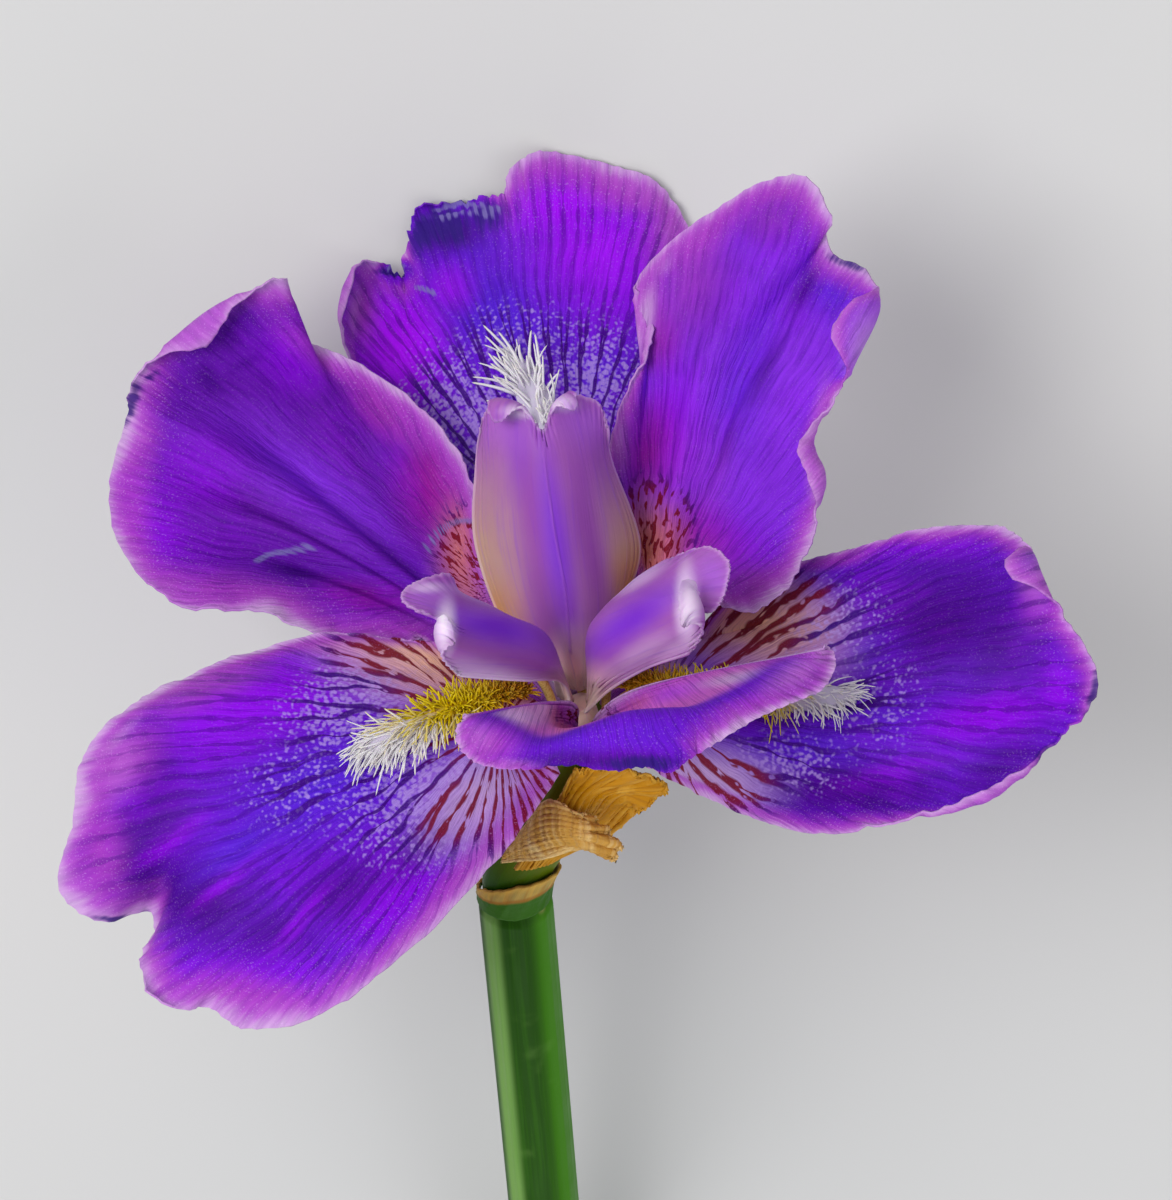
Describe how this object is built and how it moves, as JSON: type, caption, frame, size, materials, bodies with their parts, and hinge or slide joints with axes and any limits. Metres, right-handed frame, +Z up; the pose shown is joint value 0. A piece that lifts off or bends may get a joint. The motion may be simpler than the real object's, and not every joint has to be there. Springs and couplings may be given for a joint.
{
  "type": "iris flower",
  "caption": "Cut bearded iris laid down: green stem with papery bracts and an open bloom of broad violet petals, beards and curled style arms.",
  "frame": {"origin": "middle of the footprint of the lying flower, on the surface that it lies on", "axes": "+Z up from the surface, +Y from the cut end of the stem towards the bloom, +X to the bloom's right as seen in the picture"},
  "size_m": [0.1096, 0.1628, 0.0843],
  "materials": {
    "stem_green": "satin",
    "tube_green": "satin",
    "bract_dry": "matte",
    "bract_gold": "matte",
    "fall_violet": "satin",
    "standard_lilac": "satin",
    "style_violet": "satin",
    "stamen_cream": "matte",
    "beard_yellow": "matte",
    "beard_white": "matte"
  },
  "bodies": {
    "root": {"stem": "stem_green", "ovary_tube": "tube_green", "spathe_collar": "bract_dry", "spathe_outer": "bract_dry", "spathe_inner": "bract_gold", "fall_back": "fall_violet", "fall_left": "fall_violet", "fall_right": "fall_violet", "standard_left": "standard_lilac", "standard_right": "standard_lilac", "standard_front": "standard_lilac", "style_column": "style_violet", "style_back": "style_violet", "style_left": "style_violet", "style_right": "style_violet", "stamen_back": "stamen_cream", "stamen_left": "stamen_cream", "stamen_right": "stamen_cream", "beard_back_yellow": "beard_yellow", "beard_back_white": "beard_white", "beard_left_yellow": "beard_yellow", "beard_left_white": "beard_white", "beard_right_yellow": "beard_yellow", "beard_right_white": "beard_white"}
  },
  "joints": []
}
